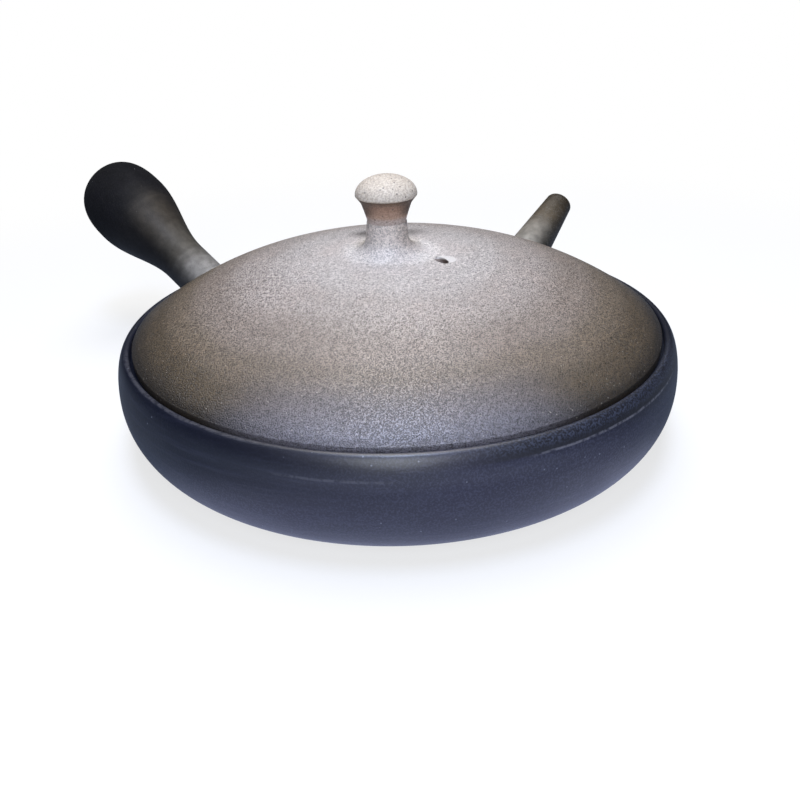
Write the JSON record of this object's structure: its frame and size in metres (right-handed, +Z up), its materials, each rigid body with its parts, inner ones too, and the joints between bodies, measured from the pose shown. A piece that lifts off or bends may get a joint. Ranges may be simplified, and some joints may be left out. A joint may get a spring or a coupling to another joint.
{
  "type": "side-handled teapot",
  "caption": "Low round stoneware teapot with a straight side handle, a short spout beside it and a loose domed lid with a knob.",
  "frame": {"origin": "middle of the flat underside", "axes": "+Z up along the bowl's axis, +X the way the spout pours, the handle near +Y"},
  "size_m": [0.1747, 0.1952, 0.0659],
  "materials": {
    "bowl_clay": "matt blue-black unglazed stoneware, smoothed, with fine grain and pale specks",
    "lid_clay": "sandy unglazed stoneware, pale in the middle with dark specks, darker towards the edge",
    "knob_clay": "pale warm grey stoneware with dark specks",
    "handle_clay": "smooth blackish stoneware, greyer near the bowl",
    "spout_clay": "grey stoneware turning brown and black at the tip",
    "inner_clay": "bare brown stoneware, not touched by the smoke"
  },
  "bodies": {
    "pot": {"pot_body": "bowl_clay", "spout": "spout_clay", "spout_coil": "spout_clay", "strainer": "inner_clay", "handle": "handle_clay", "handle_coil": "handle_clay"},
    "lid_lifter": {"lid_flange": "inner_clay"},
    "lid_turner": {"lid_dome": "lid_clay", "lid_knob": "knob_clay"}
  },
  "joints": [
    {"name": "lid_lift", "type": "slide", "parent": "pot", "child": "lid_lifter", "axis": [0, 0, 1], "range_m": [0, 0.06]},
    {"name": "lid_turn", "type": "hinge", "parent": "lid_lifter", "child": "lid_turner", "pos_m": [0, 0, 0.0265], "axis": [0, 0, 1], "continuous": true}
  ]
}
